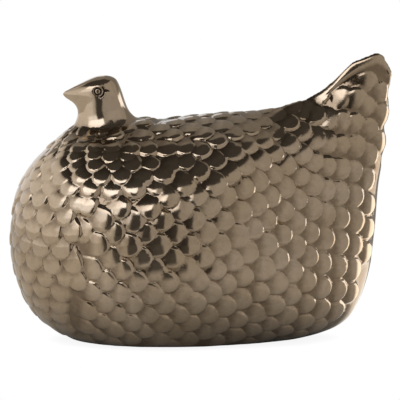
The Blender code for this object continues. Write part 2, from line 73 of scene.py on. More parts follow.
# Plain shape of the body, seen from the side
NOSE_X = -150.1
END_X = 148.5
BACK_LINE = (
    (-150.1, 80.5), (-146.9, 110.0), (-142.2, 124.0), (-135.1, 136.2), (-125.6, 148.0),
    (-114.6, 158.0), (-104.3, 165.0), (-90.9, 170.0), (-75.1, 173.0), (-49.1, 176.0),
    (-32.1, 175.8), (-7.1, 176.8), (19.8, 179.3), (50.6, 183.0), (71.1, 187.8),
    (82.6, 192.0), (93.7, 198.0), (102.7, 206.2), (111.9, 214.6), (122.5, 221.4),
    (131.1, 225.0), (138.0, 227.4), (142.6, 225.8), (146.2, 221.6), (148.5, 216.5),
)
BELLY_LINE = (
    (-150.1, 80.5), (-148.9, 63.7), (-144.9, 46.4), (-137.9, 30.4), (-128.0, 16.8),
    (-117.7, 9.0), (-107.4, 2.8), (-90.9, -3.4), (-79.0, -6.8), (-55.3, -11.5),
    (-19.0, -13.4), (15.8, -10.8), (39.5, -6.8), (59.3, -3.0), (86.1, 0.6),
    (112.2, 5.6), (130.5, 15.4), (140.0, 31.0), (146.4, 51.0), (148.5, 62.0),
)
# How far the rear edge stands behind END_X at each height
REAR_LINE = (
    (0.0, -14.0), (62.0, -12.2), (90.0, -9.6), (122.0, -7.4), (141.3, -4.4),
    (175.0, -0.8), (209.3, 1.8), (216.5, 0.4), (230.0, 0.0),
)
TAIL_LOBES = 3
TAIL_LOBE_TOP = 222.0
TAIL_LOBE_PITCH = 26.5
TAIL_LOBE_DEPTH = 3.0

# Plan shape of the body
HALF_WIDTH = 83.0
WIDEST_X = -24.0
FRONT_FULLNESS = 2.2
REAR_FULLNESS = 1.9
REAR_POINT = 0.75
RIDGE_HALF_THICKNESS = 6.0
EDGE_ROUNDING = 7.0

# Where along x the upper body narrows to the tail, and where the ridge grows out of it
NARROWING_X = (15.0, 125.0)
RIDGE_GROWTH_X = (20.0, 95.0)

# Head and neck, as level slices from the crown down: height, front, back, half width, nose shape
HEAD_SLICES = (
    (209.6, -76.5, -76.5, 0.0, 0.50),
    (208.6, -83.5, -70.5, 7.0, 0.50),
    (206.4, -89.0, -67.2, 10.6, 0.52),
    (202.6, -97.0, -65.3, 13.2, 0.62),
    (198.9, -104.8, -63.9, 14.4, 0.85),
    (196.0, -110.0, -62.8, 14.9, 1.05),
    (193.2, -108.8, -62.0, 15.2, 1.00),
    (189.8, -103.0, -60.9, 15.4, 0.80),
    (186.6, -99.2, -59.7, 15.6, 0.60),
    (181.5, -97.2, -57.3, 16.2, 0.50),
    (176.0, -98.0, -51.8, 17.8, 0.50),
    (171.0, -101.6, -44.0, 20.8, 0.50),
    (166.0, -107.0, -36.5, 26.0, 0.50),
    (160.0, -110.5, -30.0, 34.0, 0.50),
    (150.0, -113.0, -24.0, 44.0, 0.50),
    (115.0, -100.0, -22.0, 46.0, 0.50),
)

# Casting
WALL = 4.0
POUR_HOLE_RADIUS = 19.0
POUR_HOLE_X = -15.0

# Feather scales: full width, spacing of the rows on the breast and of the columns on the flank,
# then the form of one scale: its height, the width of its rounded rim, how much of the height its
# root has, and how far its sides and its tip droop
SCALE_WIDTH = 19.4
ROW_PITCH = 12.0
COLUMN_PITCH = 11.6
COLUMN_LEAN = math.radians(9.0)
SCALE_HEIGHT = 2.9
RIM_WIDTH = 3.2
ROOT_HEIGHT = 0.08
DROOP_ACROSS = 0.24
DROOP_ALONG = 0.12
OVERLAP = 0.53
CROWDING = 0.62
FEATHER_REACH = 9.0
SMALLEST_SCALE = 0.72
GROWTH_REACH = (10.0, 70.0)
TAIL_SCALE = 0.9
TAIL_X = (70.0, 115.0)
TAIL_Z = (95.0, 150.0)
SIZE_JITTER = 0.09
HEIGHT_JITTER = 0.22
SWING_JITTER = 0.24
PLACE_JITTER = 1.4
SEED = 11

# Which way the feathers point: away from the neck near it, straight down on the breast,
# to the rear on the flank. Then turns of so many degrees down, over ranges of x and of z
BREAST_X = (-116.0, -84.0)
LEAN_X = (-90.0, -40.0)
BREAST_HALF_WIDTH = 40.0
AWAY_FROM_NECK_DROP = (35.0, 80.0)
AWAY_FROM_NECK_X = (-20.0, 60.0)
TURNS = (
    (12.0, (-60.0, 0.0), (60.0, 15.0)),
    (-22.0, (70.0, 120.0), (110.0, 180.0)),
    (42.0, (-60.0, -20.0), (125.0, 150.0)),
    (-42.0, (60.0, 110.0), (125.0, 150.0)),
)

# Where the feathers are lower: a share of their height, and over which range
LOW_DOWN = (0.45, (45.0, 5.0))
NEAR_TOP = (0.5, (24.0, 4.0), (0.0, 60.0))
TO_REAR = (0.12, (0.0, 80.0))
ON_TAIL = 0.58

# Where the feathers start round the neck, and where breast rows meet flank columns
NECK_X = -75.0
NECK_Z = 172.0
NECK_CLEAR = 26.0
FIRST_ROW_Z = 162.0
COLLAR_RADIUS = 62.0
COLLAR_DEPTH = 50.0
COLLAR_CENTRE_Z = 110.0
FOLD_X = -90.0
FOLD_MOVE = 10.0
FOLD_DROP = (50.0, 110.0)
BEHIND_NECK_X = -25.0
LEVEL_Z = 80.0
REAR_COLUMN_X = (125.0, 142.0)
REAR_COLUMN_RISE = 85.0

# Smooth parts: the head and neck, and the top edge of the tail
SMOOTH_NECK_Z = 175.0
SMOOTH_NECK_FADE = 10.0
SMOOTH_NECK_SLOPE = 0.45
SMOOTH_NECK_RADIUS = 20.0
SMOOTH_NECK_REACH = 60.0
NECK_HEIGHT = 1.3
RIDGE_BAND = 10.0
RIDGE_START = 92.0
RIDGE_X = (82.0, 107.0)
CARVING_FLOOR = -0.9

# Feather tips that end the smooth neck
TIP_COUNT = 9
TIP_HALF_WIDTH = 5.6
TIP_LENGTH = 1.4
TIP_SHARE = 0.5
TIP_CENTRE = (-77.0, 0.0, 135.0)
TIP_LIFT = 48.0
TIP_SIDE_LIFT = 4.0
TIP_STAGGER = 2.0

# Eye
EYE_X = -81.7
EYE_Z = 198.3
EYE_RING_RADIUS = 2.6

# Mesh
VOXEL = 1.4
SMOOTH_STEPS = 12
SKIN_TRIANGLES = 190000
INNER_VOXEL = 3.0
INNER_SMOOTH_STEPS = 6
INNER_TRIANGLES = 5000
HOLE_SEGMENTS = 96
FOOT_CUT = 0.35
FOOT_TRIM = 0.02
EYE_REFINED_RADII = (11.0, 10.0)

# Camera, placed like the photographer's
CAMERA_TURN = -2.0
CAMERA_LIFT = 7.0
CAMERA_DISTANCE = 1.9
CAMERA_TARGET = (-0.0015, 0.0, 0.1105)
FRAME_WIDTH = 0.3165
SENSOR_WIDTH = 36.0

# Glaze
GLAZE_LIGHT = (0.66, 0.52, 0.385, 1.0)
GLAZE_WARM = (0.60, 0.455, 0.31, 1.0)
# Pooled glaze and painted shade at the feather roots and between the feathers
GLAZE_POOLED_AND_PAINTED_SHADE = (0.30, 0.215, 0.14, 1.0)
# Near black in the eye's grooves: painted shade
PAINTED_SHADE_IN_EYE_LINES = (0.03, 0.022, 0.016, 1.0)
# Where along a feather the pooled glaze and painted shade at its root fade out
POOL_AND_SHADE_ALONG = (-0.75, 0.15)
MOTTLE = 1.0
CLOUD_SCALE = 28.0
BLOTCH_SCALE = 230.0
GRAIN_SCALE = 650.0
GRAIN_HEIGHT = 0.00006
ROUGHNESS = 0.1
COAT = 0.25
COAT_ROUGHNESS = 0.04

# Studio, as seen from the hen: how bright each side of the room is.
# Degrees round from the camera (to the right is positive), degrees up, edge softness, brightness
ROOM_LEVEL = 0.38
ROOM_PATCHES = (
    (-150.0, -36.0, -90.0, 42.0, 22.0, 0.80),
    (-64.0, -26.0, 14.0, 46.0, 10.0, 1.25),
    (-64.0, -10.0, 30.0, 46.0, 5.0, 1.85),
    (8.0, 75.0, 17.0, 50.0, 8.0, 0.42),
    (-28.0, -4.0, -16.0, 31.0, 6.0, 0.06),
    (-200.0, 22.0, 46.0, 95.0, 4.0, 0.06),
    (16.0, 200.0, 55.0, 95.0, 5.0, 0.06),
    (110.0, 200.0, 12.0, 72.0, 6.0, 0.24),
    (-200.0, -140.0, 22.0, 72.0, 6.0, 0.28),
    (94.0, 128.0, -28.0, 14.0, 5.0, 1.7),
    (128.0, 200.0, -28.0, 12.0, 5.0, 0.35),
    (-200.0, -135.0, -28.0, 22.0, 5.0, 0.90),
)

# Dim parts of the room are warm and its windows cool, between these two levels of brightness
ROOM_WARM = (1.0, 0.975, 0.92, 1.0)
ROOM_COOL = (0.94, 0.98, 1.06, 1.0)
COOL_FROM = 0.45
COOL_TO = 1.2

# The floor as the glaze sees it, round the hen. Degrees round from the camera, edge softness,
# brightness, and how far from the hen it starts, in metres
FLOOR_LEVEL = 0.41
FLOOR_PATCHES = (
    (-175.0, -34.0, 24.0, 0.54, 0.0),
    (-30.0, -2.0, 6.0, 0.09, 0.24),
    (94.0, 128.0, 10.0, 1.8, 0.12),
    (128.0, 200.0, 10.0, 0.35, 0.12),
    (-200.0, -160.0, 20.0, 0.9, 0.12),
)

# Both floors: how wide, how far under the hen, and how near it their shade starts, in metres
FLOOR_SIZE = 8.0
FLOOR_DROP = 0.0002
SEEN_SHADE_REACH = 0.01
SEEN_SHADE_DARKEST = 0.9
MIRRORED_SHADE_REACH = 0.12
SHADE_SAMPLES = 8

# Grooves of the eye: the ring, the arc behind it (in degrees, up is positive) and the corner
# of the lid, a wedge that narrows to its end
EYE_GROOVE = 0.9
EYE_GROOVE_WIDTH = 1.35
EYE_ARC_RADIUS = 4.9
EYE_ARC_FROM = (-85.0, -60.0)
EYE_ARC_TO = (60.0, 40.0)
EYE_CORNER = 8.8
EYE_CORNER_RISE = 0.6
EYE_CORNER_END = 0.25
EYE_CORNER_SLOPE = 0.36


def smoothstep(value, low, high):
    t = np.clip((value - low) / (high - low), 0.0, 1.0)
    return t * t * (3.0 - 2.0 * t)


def smooth_curve(points, x, origin=None):
    """A curve through the points without overshoot; from an origin it starts like a round nose."""
    table = np.array(points, float)
    if origin is not None:
        table[:, 0] = np.sqrt(np.maximum(table[:, 0] - origin, 0.0))
        x = np.sqrt(np.maximum(np.asarray(x, float) - origin, 0.0))
    xs, ys = table[:, 0], table[:, 1]
    step = np.diff(xs)
    slope = np.diff(ys) / step
    tangent = np.zeros(len(xs))
    same_way = slope[:-1] * slope[1:] > 0
    total = step[:-1] + step[1:]
    before = (total + step[1:]) / (3.0 * total)
    mixed = before * slope[1:] + (1.0 - before) * slope[:-1]
    product = slope[:-1] * slope[1:]
    tangent[1:-1][same_way] = (product / np.where(mixed == 0, 1.0, mixed))[same_way]
    tangent[0], tangent[-1] = slope[0], slope[-1]
    x = np.clip(x, xs[0], xs[-1])
    i = np.clip(np.searchsorted(xs, x, side="right") - 1, 0, len(step) - 1)
    h = step[i]
    t = (x - xs[i]) / h
    return (
        (2 * t**3 - 3 * t**2 + 1) * ys[i]
        + (t**3 - 2 * t**2 + t) * h * tangent[i]
        + (-2 * t**3 + 3 * t**2) * ys[i + 1]
        + (t**3 - t**2) * h * tangent[i + 1]
    )


def half_width(x):
    ahead = np.clip((WIDEST_X - x) / (WIDEST_X - NOSE_X), 0.0, 1.0)
    behind = np.clip((x - WIDEST_X) / (END_X - WIDEST_X), 0.0, 1.0)
    front = np.sqrt(1.0 - ahead**FRONT_FULLNESS)
    rear = (1.0 - behind**REAR_FULLNESS) ** REAR_POINT
    return HALF_WIDTH * np.where(x < WIDEST_X, front, rear)


def oval(t, low_power, high_power):
    """Width of a section at the share t of its height, 1 at its widest."""
    widest = low_power / (low_power + high_power)
    return (t / widest) ** low_power * ((1.0 - t) / (1.0 - widest)) ** high_power


def rear_shift(z):
    """Moves the rear end to the true rear edge, with the lobes of the tail."""
    shift = smooth_curve(REAR_LINE, z)
    turn = (TAIL_LOBE_TOP - z) / TAIL_LOBE_PITCH
    lobe = np.abs(np.sin(math.pi * turn)) ** 0.8
    inside = (turn > 0) & (turn < TAIL_LOBES)
    return shift + np.where(inside, TAIL_LOBE_DEPTH * (lobe - 0.75), 0.0)


def body_rings(inset):
    """Upright slices of the body from nose to tail: (x, z, half width) at each point."""
    q = np.linspace(0.0, 1.0, 90)
    x_plain = NOSE_X + inset + (END_X - NOSE_X - 2.0 * inset) * (1.0 - np.cos(math.pi * q)) / 2.0
    t = (1.0 - np.cos(math.pi * np.linspace(0.0, 1.0, 57))) / 2.0
    x = x_plain[:, None]
    known = NOSE_X + (x - x_plain[0]) * (END_X - NOSE_X) / (x_plain[-1] - x_plain[0])
    top = smooth_curve(BACK_LINE, known, NOSE_X) - inset
    bottom = smooth_curve(BELLY_LINE, known, NOSE_X) + inset
    middle = (top + bottom) / 2.0
    top, bottom = np.maximum(top, middle), np.minimum(bottom, middle)
    z = bottom + (top - bottom) * t
    narrow = 0.5 + smoothstep(known, *NARROWING_X)
    wide = np.maximum(half_width(known) - inset, 0.0) * oval(t[None, :], 0.5, narrow)
    blade = np.maximum(RIDGE_HALF_THICKNESS - inset, 0.0) * smoothstep(known, *RIDGE_GROWTH_X)
    left = np.clip((END_X - known) / EDGE_ROUNDING, 0.0, 1.0)
    blade = blade * np.sqrt(1.0 - (1.0 - left) ** 2) * oval(t[None, :], 0.5, 0.5)
    follow = smoothstep(known, 0.0, END_X)
    return x + follow * rear_shift(z), z, wide + blade


def head_rings(inset):
    """Level slices of the head and neck, from the crown down."""
    table = np.array(HEAD_SLICES)
    depth = table[0, 0] - table[:, 0]
    q = np.linspace(0.0, 1.0, 70) ** 1.6
    level = depth[-1] * q
    front, back, width, nose = (
        smooth_curve(np.column_stack((depth, table[:, i])), level, 0.0) for i in (1, 2, 3, 4)
    )
    u = (1.0 - np.cos(math.pi * np.linspace(0.0, 1.0, 41))) / 2.0
    middle = (front + back) / 2.0
    front = np.minimum(front + inset, middle)[:, None]
    back = np.maximum(back - inset, middle)[:, None]
    width = np.maximum(width - inset, 0.0)[:, None]
    x = front + (back - front) * u
    y = width * oval(u[None, :], nose[:, None], 0.5)
    z = (table[0, 0] - inset - level * (1.0 - inset / depth[-1]))[:, None] + 0.0 * x
    return x, z, y


def shell(bm, x, z, y, floor):
    """Adds a closed skin over half-width slices and their mirror image."""
    rows, columns = x.shape
    loops = []
    for i in range(rows):
        near = [(x[i, j], -y[i, j], z[i, j]) for j in range(columns)]
        far = [(x[i, j], y[i, j], z[i, j]) for j in range(columns - 2, 0, -1)]
        points = [(a * MM, b * MM, max(c, floor) * MM) for a, b, c in near + far]
        loops.append([bm.verts.new(p) for p in points])
    count = len(loops[0])
    for first, second in zip(loops, loops[1:]):
        for j in range(count):
            k = (j + 1) % count
            bm.faces.new((first[j], first[k], second[k], second[j]))
    bm.faces.new(loops[0][::-1])
    bm.faces.new(loops[-1])


def new_object(name, bm):
    mesh = bpy.data.meshes.new(name)
    bm.to_mesh(mesh)
    bm.free()
    item = bpy.data.objects.new(name, mesh)
    bpy.context.scene.collection.objects.link(item)
    return item


def apply_modifiers(item):
    graph = bpy.context.evaluated_depsgraph_get()
    graph.update()
    mesh = bpy.data.meshes.new_from_object(item.evaluated_get(graph))
    item.modifiers.clear()
    item.data = mesh


def plain_hen(name, inset, voxel, steps):
    """The smooth hen without feathers, every surface moved in by the inset."""
    bm = bmesh.new()
    shell(bm, *body_rings(inset), inset)
    shell(bm, *head_rings(inset), inset)
    bmesh.ops.remove_doubles(bm, verts=bm.verts, dist=0.02 * MM)
    bmesh.ops.recalc_face_normals(bm, faces=bm.faces)
    item = new_object(name, bm)
    remesh = item.modifiers.new("one_skin", "REMESH")
    remesh.mode = "VOXEL"
    remesh.voxel_size = voxel * MM
    smooth = item.modifiers.new("soften", "SMOOTH")
    smooth.factor = 0.5
    smooth.iterations = steps
    apply_modifiers(item)
    return item


def points_of(mesh):
    points = np.empty(len(mesh.vertices) * 3)
    mesh.vertices.foreach_get("co", points)
    return points.reshape(-1, 3) / MM


def normals_of(mesh):
    normals = np.empty(len(mesh.vertices) * 3)
    mesh.vertices.foreach_get("normal", normals)
    return normals.reshape(-1, 3)


def tree_of(item):
    bm = bmesh.new()
    bm.from_mesh(item.data)
    tree = BVHTree.FromBMesh(bm)
    bm.free()
    return tree


def surface_hit(tree, start, direction):
    """The outermost surface point along a ray from inside, with its normal."""
    point, normal, _, _ = tree.ray_cast(Vector(start) * MM, Vector(direction))
    if point is None:
        return None
    return np.array(point) / MM, np.array(normal)


def profile(tree, start, directions):
    """Surface points met by a fan of rays, with their distance along the surface."""
    hits = [surface_hit(tree, start, d) for d in directions]
    hits = [hit for hit in hits if hit is not None and hit[0][2] > 1.5]
    points = np.array([hit[0] for hit in hits])
    normals = np.array([hit[1] for hit in hits])
    gaps = np.linalg.norm(np.diff(points, axis=0), axis=1)
    return points, normals, np.concatenate(([0.0], np.cumsum(gaps)))


def heading(point):
    """Which way a feather points, in the side view: 0 is to the tail, a quarter turn is down."""
    x, z = point[0], point[2]
    drop = NECK_Z - z
    radial = math.atan2(max(drop, 0.0), x - NECK_X)
    plain = 0.5 * math.pi * (1.0 - float(smoothstep(x, *BREAST_X)))
    plain += lean(x) * float(smoothstep(x, *LEAN_X))
    share = float(smoothstep(drop, *AWAY_FROM_NECK_DROP))
    share = max(share, float(smoothstep(x, *AWAY_FROM_NECK_X)))
    turn = radial * (1.0 - share) + plain * share
    for degrees, x_range, z_range in TURNS:
        turn += math.radians(degrees) * float(smoothstep(x, *x_range) * smoothstep(z, *z_range))
    return turn


def feather_frame(point, normal):
    """The direction of a feather and its side direction, both in the surface."""
    turn = heading(point)
    ahead = np.array((math.cos(turn), 0.0, -math.sin(turn)))
    if point[0] < NECK_X and abs(point[1]) < BREAST_HALF_WIDTH:
        outward = np.array((point[0] - NECK_X, point[1], 0.0))
        outward /= max(np.linalg.norm(outward), 1e-6)
        ahead = ahead * 0.2 + outward * 0.3 + np.array((0.0, 0.0, -1.0))
    ahead = ahead - normal * float(ahead @ normal)
    ahead /= np.linalg.norm(ahead)
    return ahead, np.cross(normal, ahead)


def collar_places(tree):
    """Rings round the neck, carried down over the whole breast."""
    turns = np.radians(np.arange(0.0, 181.0, 4.0))
    lifts = np.radians(np.arange(66.0, -72.0, -1.5))
    start = (NECK_X, 0.0, COLLAR_CENTRE_Z)
    lines = []
    for turn in turns:
        fan = [
            (math.cos(turn) * math.cos(up), math.sin(turn) * math.cos(up), math.sin(up))
            for up in lifts
        ]
        points, normals, run = profile(tree, start, fan)
        from_neck = run - np.interp(-FIRST_ROW_Z, -points[:, 2], run)
        lines.append((points, normals, from_neck))
    places = []
    reach = 0.0
    for row in range(20):
        ring = []
        for points, normals, run in lines:
            if run[-1] < reach:
                continue
            point = np.array([np.interp(reach, run, points[:, i]) for i in range(3)])
            normal = np.array([np.interp(reach, run, normals[:, i]) for i in range(3)])
            ring.append((point, normal / np.linalg.norm(normal)))
        if ring:
            places += along_ring(ring[::-1], row, SCALE_WIDTH * grown(reach))
        reach += ROW_PITCH * grown(reach)
    return [place for place in places if in_collar(place[0])]


def in_collar(point):
    """The collar covers the shoulders, and the breast down to the base."""
    x, _, z = point
    low = NECK_Z - z
    shoulder = math.hypot(x - NECK_X, low) < COLLAR_RADIUS
    shoulder = shoulder and NECK_Z - FIRST_ROW_Z < low < COLLAR_DEPTH
    return shoulder or x < FOLD_X - FOLD_MOVE * float(smoothstep(low, *FOLD_DROP))


def grown(reach):
    """Size of the feathers at a distance from the neck, as a share of their full size."""
    return SMALLEST_SCALE + (1.0 - SMALLEST_SCALE) * float(smoothstep(reach, *GROWTH_REACH))


def size_at(x, z):
    """Size of the feathers by place: small round the neck and on the upright tail."""
    tail = float(smoothstep(x, *TAIL_X) * smoothstep(z, *TAIL_Z))
    return grown(math.hypot(x - NECK_X, NECK_Z - z)) * (1.0 - (1.0 - TAIL_SCALE) * tail)


def along_ring(ring, row, width, start=0.0):
    """Even places along a half ring that starts on the centre plane, each second row shifted."""
    points = np.array([place[0] for place in ring])
    normals = np.array([place[1] for place in ring])
    gaps = np.linalg.norm(np.diff(points, axis=0), axis=1)
    run = np.concatenate(([0.0], np.cumsum(gaps)))
    places = []
    first = (0.0 if row % 2 else 0.5) + start / width
    for reach in np.arange(first, run[-1] / width, 1.0) * width:
        point = np.array([np.interp(reach, run, points[:, i]) for i in range(3)])
        normal = np.array([np.interp(reach, run, normals[:, i]) for i in range(3)])
        if reach == 0.0:
            point[1] = 0.0
            normal[1] = 0.0
        places.append((point, normal / np.linalg.norm(normal)))
    return places


def lean(x):
    """How far the columns of feathers lean over towards the tail, less and less to the rear."""
    return COLUMN_LEAN * (1.0 - float(smoothstep(x, 20.0, END_X)))


def column_line(tree, middle):
    """The skin along one upright column, and how far down it the common level lies."""
    ups = np.radians(np.arange(90.0, -80.0, -2.0))
    rise = (math.sin(lean(middle)), 0.0, math.cos(lean(middle)))
    lifted = REAR_COLUMN_RISE * float(smoothstep(middle, *REAR_COLUMN_X))
    start = (middle, 0.0, COLLAR_CENTRE_Z + lifted)
    fan = [(math.sin(up) * rise[0], math.cos(up), math.sin(up) * rise[2]) for up in ups]
    points, normals, run = profile(tree, start, fan)
    level = float(np.interp(-LEVEL_Z, -points[:, 2], run))
    return list(zip(points, normals)), level


def flank_places(tree):
    """Upright columns over back, flank and tail, each second column shifted."""
    places = []
    middles = np.arange(FOLD_X, END_X, COLUMN_PITCH)
    lines = [column_line(tree, float(middle)) for middle in middles]
    behind = int(np.searchsorted(middles, BEHIND_NECK_X))
    for column, (line, level) in enumerate(lines):
        start = (level - lines[behind][1]) % SCALE_WIDTH if column < behind else 0.0
        for point, normal in along_ring(line, column, SCALE_WIDTH, start):
            x = point[0]
            top = float(smooth_curve(BACK_LINE, x, NOSE_X))
            on_ridge = x > RIDGE_START and point[2] > top - 1.2 * RIDGE_BAND
            on_neck = math.hypot(x - NECK_X, point[1]) < NECK_CLEAR and point[2] > FIRST_ROW_Z
            if not (on_ridge or on_neck or in_collar(point)):
                places.append((point, normal))
    return places


def well_spaced(places):
    """Drops each place that crowds one already kept."""
    kept = []
    for point, normal in places:
        ahead, side = feather_frame(point, normal)
        size = size_at(point[0], point[2])
        clear = True
        for other in kept:
            gap = point - other[0]
            along = float(gap @ ahead) / (CROWDING * size * ROW_PITCH)
            across = float(gap @ side) / (CROWDING * size * SCALE_WIDTH)
            if along * along + across * across < 1.0 and abs(float(gap @ normal)) < 8.0:
                clear = False
                break
        if clear:
            kept.append((point, normal, ahead, side))
    return kept


def make_scales(tree):
    """Every feather scale: centre, normal, direction, side, half width, root length, height."""
    dice = random.Random(SEED)
    scales = []
    for point, normal, ahead, side in well_spaced(collar_places(tree) + flank_places(tree)):
        x, y, z = point
        size = size_at(x, z)
        half = SCALE_WIDTH * OVERLAP * size * (1.0 + dice.uniform(-SIZE_JITTER, SIZE_JITTER))
        root = 1.0 + dice.uniform(-SIZE_JITTER, SIZE_JITTER)
        high = size * (1.0 + dice.uniform(-HEIGHT_JITTER, HEIGHT_JITTER))
        swing = dice.uniform(-SWING_JITTER, SWING_JITTER) if abs(y) > 1.0 else 0.0
        turned = ahead * math.cos(swing) + side * math.sin(swing)
        across = np.cross(normal, turned)
        place = point + turned * dice.uniform(-PLACE_JITTER, PLACE_JITTER)
        scales.append((place, normal, turned, across, half, root, high))
        if abs(y) > 1.0:
            flip = np.array((1.0, -1.0, 1.0))
            frame = (place * flip, normal * flip, turned * flip, across * flip)
            scales.append((*frame, half, root, high))
    return scales + neck_fingers(tree)


def neck_fingers(tree):
    """The long narrow feather tips that end the smooth neck."""
    places = []
    for i in range(TIP_COUNT):
        turn = math.pi * i / (TIP_COUNT - 1)
        up = math.radians(TIP_LIFT + TIP_SIDE_LIFT * math.sin(turn))
        direction = (-math.cos(turn) * math.cos(up), math.sin(turn) * math.cos(up), math.sin(up))
        point, normal = surface_hit(tree, TIP_CENTRE, direction)
        outward = np.array((point[0] - NECK_X, point[1], 0.0))
        outward /= np.linalg.norm(outward)
        ahead = outward * 0.2 - np.array((0.0, 0.0, 1.0))
        ahead -= normal * float(ahead @ normal)
        ahead /= np.linalg.norm(ahead)
        side = np.cross(normal, ahead)
        longer = TIP_STAGGER if i % 2 else 0.0
        sides = (1.0,) if i in (0, TIP_COUNT - 1) else (1.0, -1.0)
        for hand in sides:
            flip = np.array((1.0, hand, 1.0))
            place = (point + ahead * longer) * flip
            across = side * flip
            size = (TIP_HALF_WIDTH, TIP_LENGTH, TIP_SHARE)
            places.append((place, normal * flip, ahead * flip, across, *size))
    return places


def feather_share(points, scales):
    """How far each point is raised by its feather, and its tone from 0 to 1: 0 pooled glaze with
    painted shade at the root, 1 light glaze.
    """
    order = np.argsort(points[:, 0])
    sorted_x = points[order, 0]
    shares = np.zeros(len(points))
    pool_and_shade = np.zeros(len(points))
    for place, normal, ahead, side, half, root, high in scales:
        reach = half * (1.0 + root) * 1.05
        low, top = np.searchsorted(sorted_x, (place[0] - reach, place[0] + reach))
        near = order[low:top]
        gap = points[near] - place
        across = (gap @ side) / half
        along = (gap @ ahead) / half
        depth = np.abs(gap @ normal)
        inside = (np.abs(across) < 1.0) & (along < 1.0) & (along > -root - 0.3)
        inside &= depth < FEATHER_REACH
        near, across, along = near[inside], across[inside], along[inside]
        tip = np.where(along > 0.0, np.hypot(along * 0.95, across), np.abs(across))
        edge = (1.0 - tip) * half
        climb = np.clip((along + root + 0.1) / (root + 0.5), 0.0, 1.0)
        lift = 1.0 - (1.0 - climb) ** 2
        rim = np.sin(0.5 * math.pi * np.clip(edge / RIM_WIDTH, 0.0, 1.0))
        droop = DROOP_ACROSS * across**2 + DROOP_ALONG * np.maximum(along, 0.0) ** 2
        share = high * rim * (ROOT_HEIGHT + (1.0 - ROOT_HEIGHT) * lift - droop * lift)
        share = np.where(edge > 0.0, share, 0.0)
        # Darker towards the root: partly pooled glaze, partly painted shade of the recess
        light = smoothstep(along, *POOL_AND_SHADE_ALONG) * (1.0 - 0.35 * across**4)
        higher = share > shares[near]
        pool_and_shade[near[higher]] = light[higher]
        shares[near[higher]] = share[higher]
    return shares, pool_and_shade


def plain_share(points):
    """1 on the smooth head, neck and top edge of the tail, 0 where the feathers are."""
    away = np.hypot(points[:, 0] - NECK_X, points[:, 1])
    above = points[:, 2] - SMOOTH_NECK_SLOPE * np.maximum(away - SMOOTH_NECK_RADIUS, 0.0)
    neck = smoothstep(above, SMOOTH_NECK_Z - SMOOTH_NECK_FADE, SMOOTH_NECK_Z)
    neck *= away < SMOOTH_NECK_REACH
    under_top = smooth_curve(BACK_LINE, points[:, 0], NOSE_X) - points[:, 2]
    ridge = smoothstep(-under_top, -RIDGE_BAND, -0.6 * RIDGE_BAND)
    ridge *= smoothstep(points[:, 0], *RIDGE_X)
    return np.maximum(neck, ridge)


def feather_height(points):
    """Height of a full feather at each point: less near the base, the top edge and the rear."""
    x, z = points[:, 0], points[:, 2]
    under_top = smooth_curve(BACK_LINE, x, NOSE_X) - z
    near_top = smoothstep(under_top, *NEAR_TOP[1]) * smoothstep(x, *NEAR_TOP[2])
    on_tail = smoothstep(x, *TAIL_X) * smoothstep(z, *TAIL_Z)
    height = SCALE_HEIGHT * (1.0 - LOW_DOWN[0] * smoothstep(z, *LOW_DOWN[1]))
    height *= (1.0 - NEAR_TOP[0] * near_top) * (1.0 - TO_REAR[0] * smoothstep(x, *TO_REAR[1]))
    return height * (1.0 - ON_TAIL * on_tail)


def cut_below(item, height):
    """Cuts the mesh off flat at a height and closes the cut."""
    bm = bmesh.new()
    bm.from_mesh(item.data)
    everything = bm.verts[:] + bm.edges[:] + bm.faces[:]
    bmesh.ops.bisect_plane(
        bm, geom=everything, plane_co=(0, 0, height * MM), plane_no=(0, 0, 1), clear_inner=True
    )
    rim = [edge for edge in bm.edges if edge.is_boundary]
    bmesh.ops.edgeloop_fill(bm, edges=rim)
    bmesh.ops.recalc_face_normals(bm, faces=bm.faces)
    bm.to_mesh(item.data)
    bm.free()


def stand_flat(item, height):
    """Cuts the hen's foot flat at a height and sets it down on z = 0."""
    cut_below(item, height)
    for vertex in item.data.vertices:
        vertex.co.z = max(vertex.co.z - height * MM, 0.0)


def thin_out(item, triangles):
    """Fewer triangles, most of them kept where the surface bends."""
    item.data.calc_loop_triangles()
    fewer = item.modifiers.new("fewer_triangles", "DECIMATE")
    fewer.ratio = triangles / len(item.data.loop_triangles)
    apply_modifiers(item)


def cutter(item):
    item.hide_render = True
    item.display_type = "WIRE"
    return item


def refine(item, centre, radius):
    """Halves the mesh edges near a point on each side of the head, for detail finer than the grid."""
    bm = bmesh.new()
    bm.from_mesh(item.data)
    x, z = centre
    near = [
        edge
        for edge in bm.edges
        if math.hypot(edge.verts[0].co.x / MM - x, edge.verts[0].co.z / MM - z) < radius
    ]
    bmesh.ops.subdivide_edges(bm, edges=near, cuts=1, use_grid_fill=True)
    bmesh.ops.triangulate(bm, faces=[face for face in bm.faces if len(face.verts) > 4])
    bm.to_mesh(item.data)
    bm.free()


def groove(gap, width):
    """1 along the middle of a groove and 0 beyond its edges."""
    return 1.0 - smoothstep(np.abs(gap), 0.2 * width, 0.65 * width)


def eye_grooves(points):
    """The ring of the eye, the arc behind it and the corner of the lid, as shares of their depth."""
    behind = points[:, 0] - EYE_X
    up = points[:, 2] - EYE_Z
    away = np.hypot(behind, up)
    turn = np.degrees(np.arctan2(up, behind))
    ring = groove(away - EYE_RING_RADIUS, EYE_GROOVE_WIDTH)
    side = smoothstep(turn, *EYE_ARC_FROM) * smoothstep(turn, *EYE_ARC_TO)
    arc = groove(away - EYE_ARC_RADIUS, EYE_GROOVE_WIDTH) * side
    narrow = EYE_CORNER_END + EYE_CORNER_SLOPE * np.maximum(EYE_CORNER - behind, 0.0)
    level = np.abs(up - EYE_CORNER_RISE)
    corner = (1.0 - smoothstep(level, 0.5 * narrow, narrow)) * (behind < EYE_CORNER)
    corner *= smoothstep(behind, EYE_ARC_RADIUS - 0.6, EYE_ARC_RADIUS)
    marks = np.maximum(ring, np.maximum(arc, corner))
    return marks * (away < 2.0 * EYE_CORNER)


